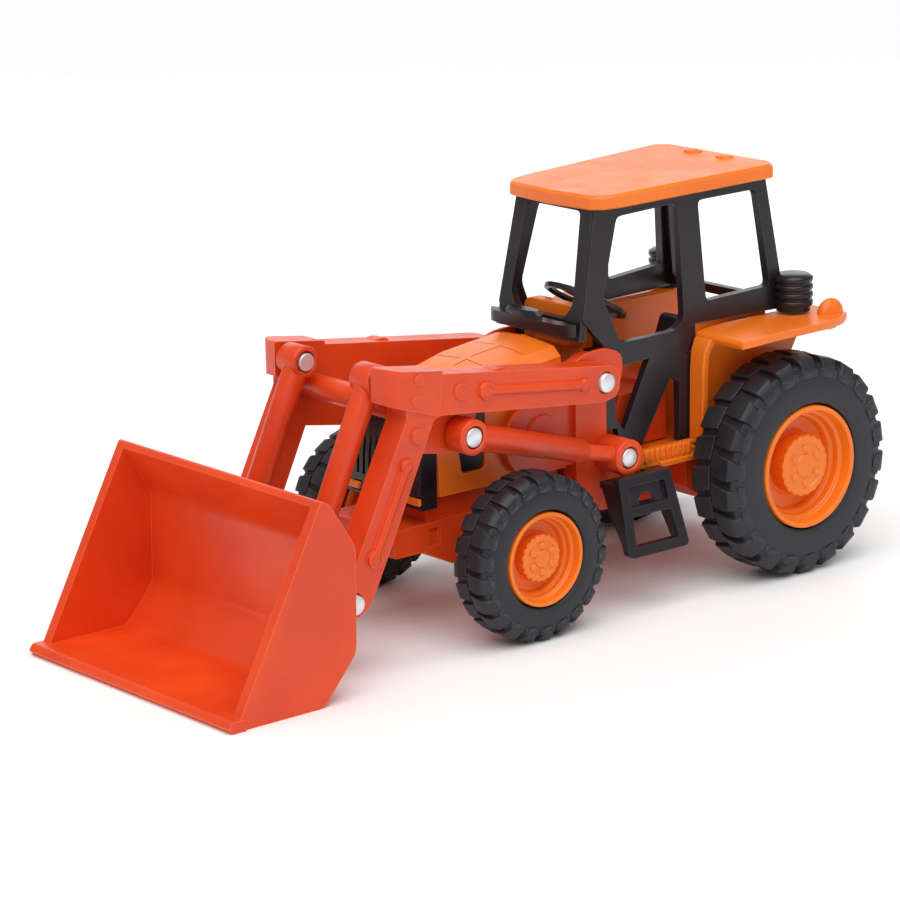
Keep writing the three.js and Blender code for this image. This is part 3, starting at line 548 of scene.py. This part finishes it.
# A strip's steps, how far it stands out of its surface and how far it reaches in.
STRIP_STEP, STRIP_RISE, STRIP_DEPTH = 0.7, 0.03, 0.2


def add_strip(bm, path, width, surface):
    """A thin strip along a path of (x, y) in mm, just proud of a surface given as a height function."""
    points = []
    for (x0, y0), (x1, y1) in zip(path, path[1:]):
        run, climb = x1 - x0, y1 - y0
        steps = max(2, round(math.hypot(run, climb) / STRIP_STEP))
        points += [(x0 + run * i / steps, y0 + climb * i / steps, run, climb) for i in range(steps + 1)]
    rings = []
    for x, y, along_x, along_y in points:
        length = math.hypot(along_x, along_y)
        side = Vector((-along_y / length, along_x / length)) * width / 2
        ring = []
        for sign, lift in ((-1, -STRIP_DEPTH), (-1, STRIP_RISE), (1, STRIP_RISE), (1, -STRIP_DEPTH)):
            px, py = x + side.x * sign, y + side.y * sign
            ring.append(bm.verts.new(Vector((px, py, surface(px, py) + lift)) * MM))
        rings.append(ring)
    add_skin(bm, rings)


def dome(radius, rise):
    """The profile of a low rounded knob that starts 1 mm inside a face."""
    side = [(-1.0, radius), (rise * 0.35, radius), (rise * 0.8, radius * 0.78)]
    return side + [(rise, radius * 0.4), (rise, 0)]


BOOM_FACE = 18.3
END_KNOB_RISE = 0.95


def build_boom_details():
    """The hose, the rib and the bolt heads moulded on each boom's outer face, as (y, z) places."""
    # Start, end, radius, and the radii of the knobs at both ends.
    strips = [
        ((-11.9, 43.6), (10.1, 40.9), 0.9, 1.6, 1.2),
        ((-29.4, 33.6), (-36.6, 19.2), 0.8, 1.35, 1.3),
    ]
    knobs = [((-17.3, 44.4), 1.5, 0.45), ((-26.8, 38.4), 1.4, 0.55)]
    for side, sign in SIDES.items():
        outward = AXIS_X * sign
        bm = bmesh.new()
        for start_place, end_place, radius, start_knob, end_knob in strips:
            start = Vector((BOOM_FACE * sign, *start_place)) * MM
            end = Vector((BOOM_FACE * sign, *end_place)) * MM
            length = (end - start).length / MM
            add_turned(bm, [(0, 0), (0, radius), (length, radius), (length, 0)], start, end - start, 24)
            add_turned(bm, dome(start_knob, END_KNOB_RISE), start, outward, 28)
            add_turned(bm, dome(end_knob, END_KNOB_RISE), end, outward, 28)
        for place, radius, rise in knobs:
            add_turned(bm, dome(radius, rise), Vector((BOOM_FACE * sign, *place)) * MM, outward, 28)
        finish_mesh(f"boom_details_{side}", bm, "loader_red", "boom", [], 40)


def add_sheet(bm, stations, inner):
    """A bent sheet: stations of (under y, under z, over y, over z, outer x), all in mm."""
    rings = []
    for under_y, under_z, over_y, over_z, outer in stations:
        corners = (
            (inner, under_y, under_z), (outer, under_y, under_z),
            (outer, over_y, over_z), (inner, over_y, over_z),
        )
        rings.append([bm.verts.new(Vector(corner) * MM) for corner in corners])
    add_skin(bm, rings)


def add_prism(bm, outline, from_x, to_x):
    """A plate with a (y, z) outline between two x, in mm."""
    add_skin(bm, [[bm.verts.new(Vector((x, y, z)) * MM) for y, z in outline] for x in (from_x, to_x)])


# The x of both faces of a fender's wall, and the round marker's centre and half sizes.
FENDER_INNER, FENDER_WALL = 13.7, 15.1
MARKER_PLACE = (22.0, 66.3, 45.2)
MARKER_SIZE = (1.75, 2.9, 2.9)


def build_fender(side):
    """The fender: an inner wall, a front flange that curls into the top plate, and a round marker."""
    sign = SIDES[side]
    inner = FENDER_INNER * sign
    bm = bmesh.new()
    flange = [
        (40.5, 24.8, 39.1, 24.8, 17.2), (40.7, 38.0, 39.3, 38.0, 17.2), (41.0, 41.0, 39.6, 41.4, 17.3),
        (41.5, 42.6, 40.4, 43.5, 17.8), (42.6, 43.6, 41.9, 44.8, 18.4), (44.5, 43.6, 44.4, 44.95, 18.8),
    ]
    add_sheet(bm, [(*station[:4], station[4] * sign) for station in flange], inner)
    top = [
        (41.0, 43.2, 40.7, 43.9, 24.6), (41.2, 43.1, 41.1, 44.6, 25.6), (43.0, 43.45, 43.0, 44.95, 26.6),
        (47.0, 43.75, 47.0, 45.2, 27.0), (55.0, 43.85, 55.0, 45.3, 27.0), (62.0, 43.85, 62.0, 45.3, 26.8),
        (66.0, 43.85, 66.0, 45.3, 25.6), (69.2, 43.85, 69.2, 45.3, 23.4),
    ]
    add_sheet(bm, [(*station[:4], station[4] * sign) for station in top], inner)
    wall = [
        (39.6, 25.0), (63.0, 25.0), (63.6, 38.0), (66.0, 42.0), (66.0, 44.6), (42.6, 44.2), (40.8, 42.6),
        (39.8, 40.5),
    ]
    add_prism(bm, wall, inner, FENDER_WALL * sign)
    marker = bmesh.ops.create_uvsphere(bm, u_segments=40, v_segments=20, radius=1.0)
    stretch = Matrix.Diagonal(Vector(MARKER_SIZE)) * MM
    place = Matrix.Diagonal(Vector((sign, 1, 1))) @ Vector(MARKER_PLACE) * MM
    for vertex in marker["verts"]:
        vertex.co = stretch @ vertex.co + place
    finish_mesh(f"fender_{side}_fine", bm, "body_orange", "tractor", [f"fender_{side}"], 40, 0.35)


LAMP_X, LAMP_Y = 16.6, 62.3
LAMP_FOOT = 0.9
LAMP_DISCS, LAMP_PITCH = 4, 1.45


def build_lamp_stack(side):
    """The ribbed lamp behind the cab: a foot and thick discs with rounded rims."""
    place = Vector((LAMP_X * MM * SIDES[side], LAMP_Y * MM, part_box(f"lamp_stack_{side}")[0].z))
    bm = bmesh.new()
    profile = [(0, 0), (0, 3.1), (LAMP_FOOT, 3.1)]
    for disc in range(LAMP_DISCS):
        z = LAMP_FOOT + disc * LAMP_PITCH
        lower = [(z, 3.15), (z + 0.12, 3.45), (z + 0.4, 3.6)]
        upper = [(z + 0.85, 3.6), (z + 1.1, 3.45), (z + 1.22, 3.15)]
        profile += lower + upper
    add_turned(bm, profile + [(6.7, 2.9), (6.7, 0)], place, Vector((0, 0, 1)), 48)
    finish_mesh(f"lamp_stack_{side}_fine", bm, "trim_black", "tractor", [f"lamp_stack_{side}"], 50)


PANEL_LINE_WIDTH = 0.22


def build_hood_lines():
    """The panel lines moulded into the hood's top, drawn as thin strips painted darker orange as painted
    shade for the grooves.
    """
    spine, reach, front, rear = 0.8, 6.8, -1.5, 6.4
    bm = bmesh.new()
    for path in (
        [(-reach, front), (-spine, front)],
        [(spine, front - 2.7), (spine, front)],
        [(spine, front), (reach, front)],
        [(-reach, rear), (-spine, rear)],
        [(spine, front + 1.0), (spine, rear)],
        [(spine, rear), (reach, rear)],
    ):
        add_strip(bm, path, PANEL_LINE_WIDTH, lambda x, y: drop_onto("hood", x, y))
    lines = finish_mesh("hood_groove_shade_strips", bm, "body_orange", "tractor", [])
    # The strips take the darker orange, painted shade in place of the grooves' own shade.
    lines.data.materials.clear()
    lines.data.materials.append(GROOVE_SHADE_PAINT)


# ---------------------------------------------------------------- stage, light and camera


FLOOR_HALF = 3.0


def build_stage():
    bm = bmesh.new()
    bmesh.ops.create_grid(bm, x_segments=1, y_segments=1, size=FLOOR_HALF)
    mesh = bpy.data.meshes.new("floor")
    bm.to_mesh(mesh)
    bm.free()
    floor = bpy.data.objects.new("floor", mesh)
    scene.collection.objects.link(floor)
    nodes = Nodes("floor_white")
    nodes.set(Base_Color=(0.97, 0.97, 0.97, 1), Roughness=0.6, Specular_IOR_Level=0.2)
    mesh.materials.append(nodes.material)


def add_softbox(name, place, aim, size, power):
    light = bpy.data.lights.new(name, "AREA")
    light.shape = "RECTANGLE"
    light.size, light.size_y = size
    light.energy = power
    lamp = bpy.data.objects.new(name, light)
    lamp.location = place
    lamp.rotation_euler = (Vector(aim) - Vector(place)).to_track_quat("-Z", "Y").to_euler()
    scene.collection.objects.link(lamp)


SKY_STRENGTH, SUN_STRENGTH = 0.36, 2.4


def build_light():
    world = bpy.data.worlds.new("studio")
    scene.world = world
    world.use_nodes = True
    sky = world.node_tree.nodes["Background"]
    sky.inputs["Color"].default_value = (1, 1, 1, 1)
    sky.inputs["Strength"].default_value = SKY_STRENGTH
    sun = bpy.data.lights.new("overhead", "SUN")
    sun.energy = SUN_STRENGTH
    sun.angle = math.radians(70)
    lamp = bpy.data.objects.new("overhead", sun)
    lamp.rotation_euler = (Vector((0.30, -0.25, 1.0))).to_track_quat("Z", "Y").to_euler()
    scene.collection.objects.link(lamp)
    add_softbox("window", (0.45, -0.45, 0.40), (0, 0, 0.03), (0.30, 0.30), 0.4)
    add_softbox("sheen", (-0.42, 0.35, 0.24), (0, 0, 0.05), (0.60, 0.40), 0.7)
    scene.view_settings.view_transform = "Standard"
    scene.view_settings.look = "None"


# The camera's bearing from -Y towards +X, its height angle and its roll, in degrees.
CAMERA_AZIMUTH, CAMERA_ELEVATION, CAMERA_ROLL = 50.44, 14.38, -1.21
# The point that it looks at, and how far it stands to the right of it, above it and back from it.
CAMERA_TARGET = Vector((0, -5.25, 30))
CAMERA_RIGHT, CAMERA_UP, CAMERA_BACK = 2.88, 0.54, 632.02
CAMERA_LENS, CAMERA_SHIFT = 145.59, (-0.0166, -0.0114)


def build_camera():
    azimuth = math.radians(CAMERA_AZIMUTH)
    elevation = math.radians(CAMERA_ELEVATION)
    roll = math.radians(CAMERA_ROLL)
    right = Vector((math.cos(azimuth), math.sin(azimuth), 0))
    level = Vector((math.sin(azimuth), -math.cos(azimuth), 0))
    back = level * math.cos(elevation) + Vector((0, 0, math.sin(elevation)))
    up = back.cross(right)
    right, up = right * math.cos(roll) + up * math.sin(roll), up * math.cos(roll) - right * math.sin(roll)
    data = bpy.data.cameras.new("camera")
    data.sensor_width = 36
    data.lens = CAMERA_LENS
    data.shift_x, data.shift_y = CAMERA_SHIFT
    data.clip_end = 10
    camera = bpy.data.objects.new("camera", data)
    place = (CAMERA_TARGET + right * CAMERA_RIGHT + up * CAMERA_UP + back * CAMERA_BACK) * MM
    camera.matrix_world = Matrix.Translation(place) @ Matrix((right, up, back)).transposed().to_4x4()
    scene.collection.objects.link(camera)
    scene.camera = camera


# ---------------------------------------------------------------- the scene

dress_all()
build_wheels()
build_pins()
build_cylinders()
build_boom_details()
for side in SIDES:
    build_fender(side)
    build_lamp_stack(side)
build_hood_lines()
build_stage()
build_light()
build_camera()

bpy.context.view_layer.update()
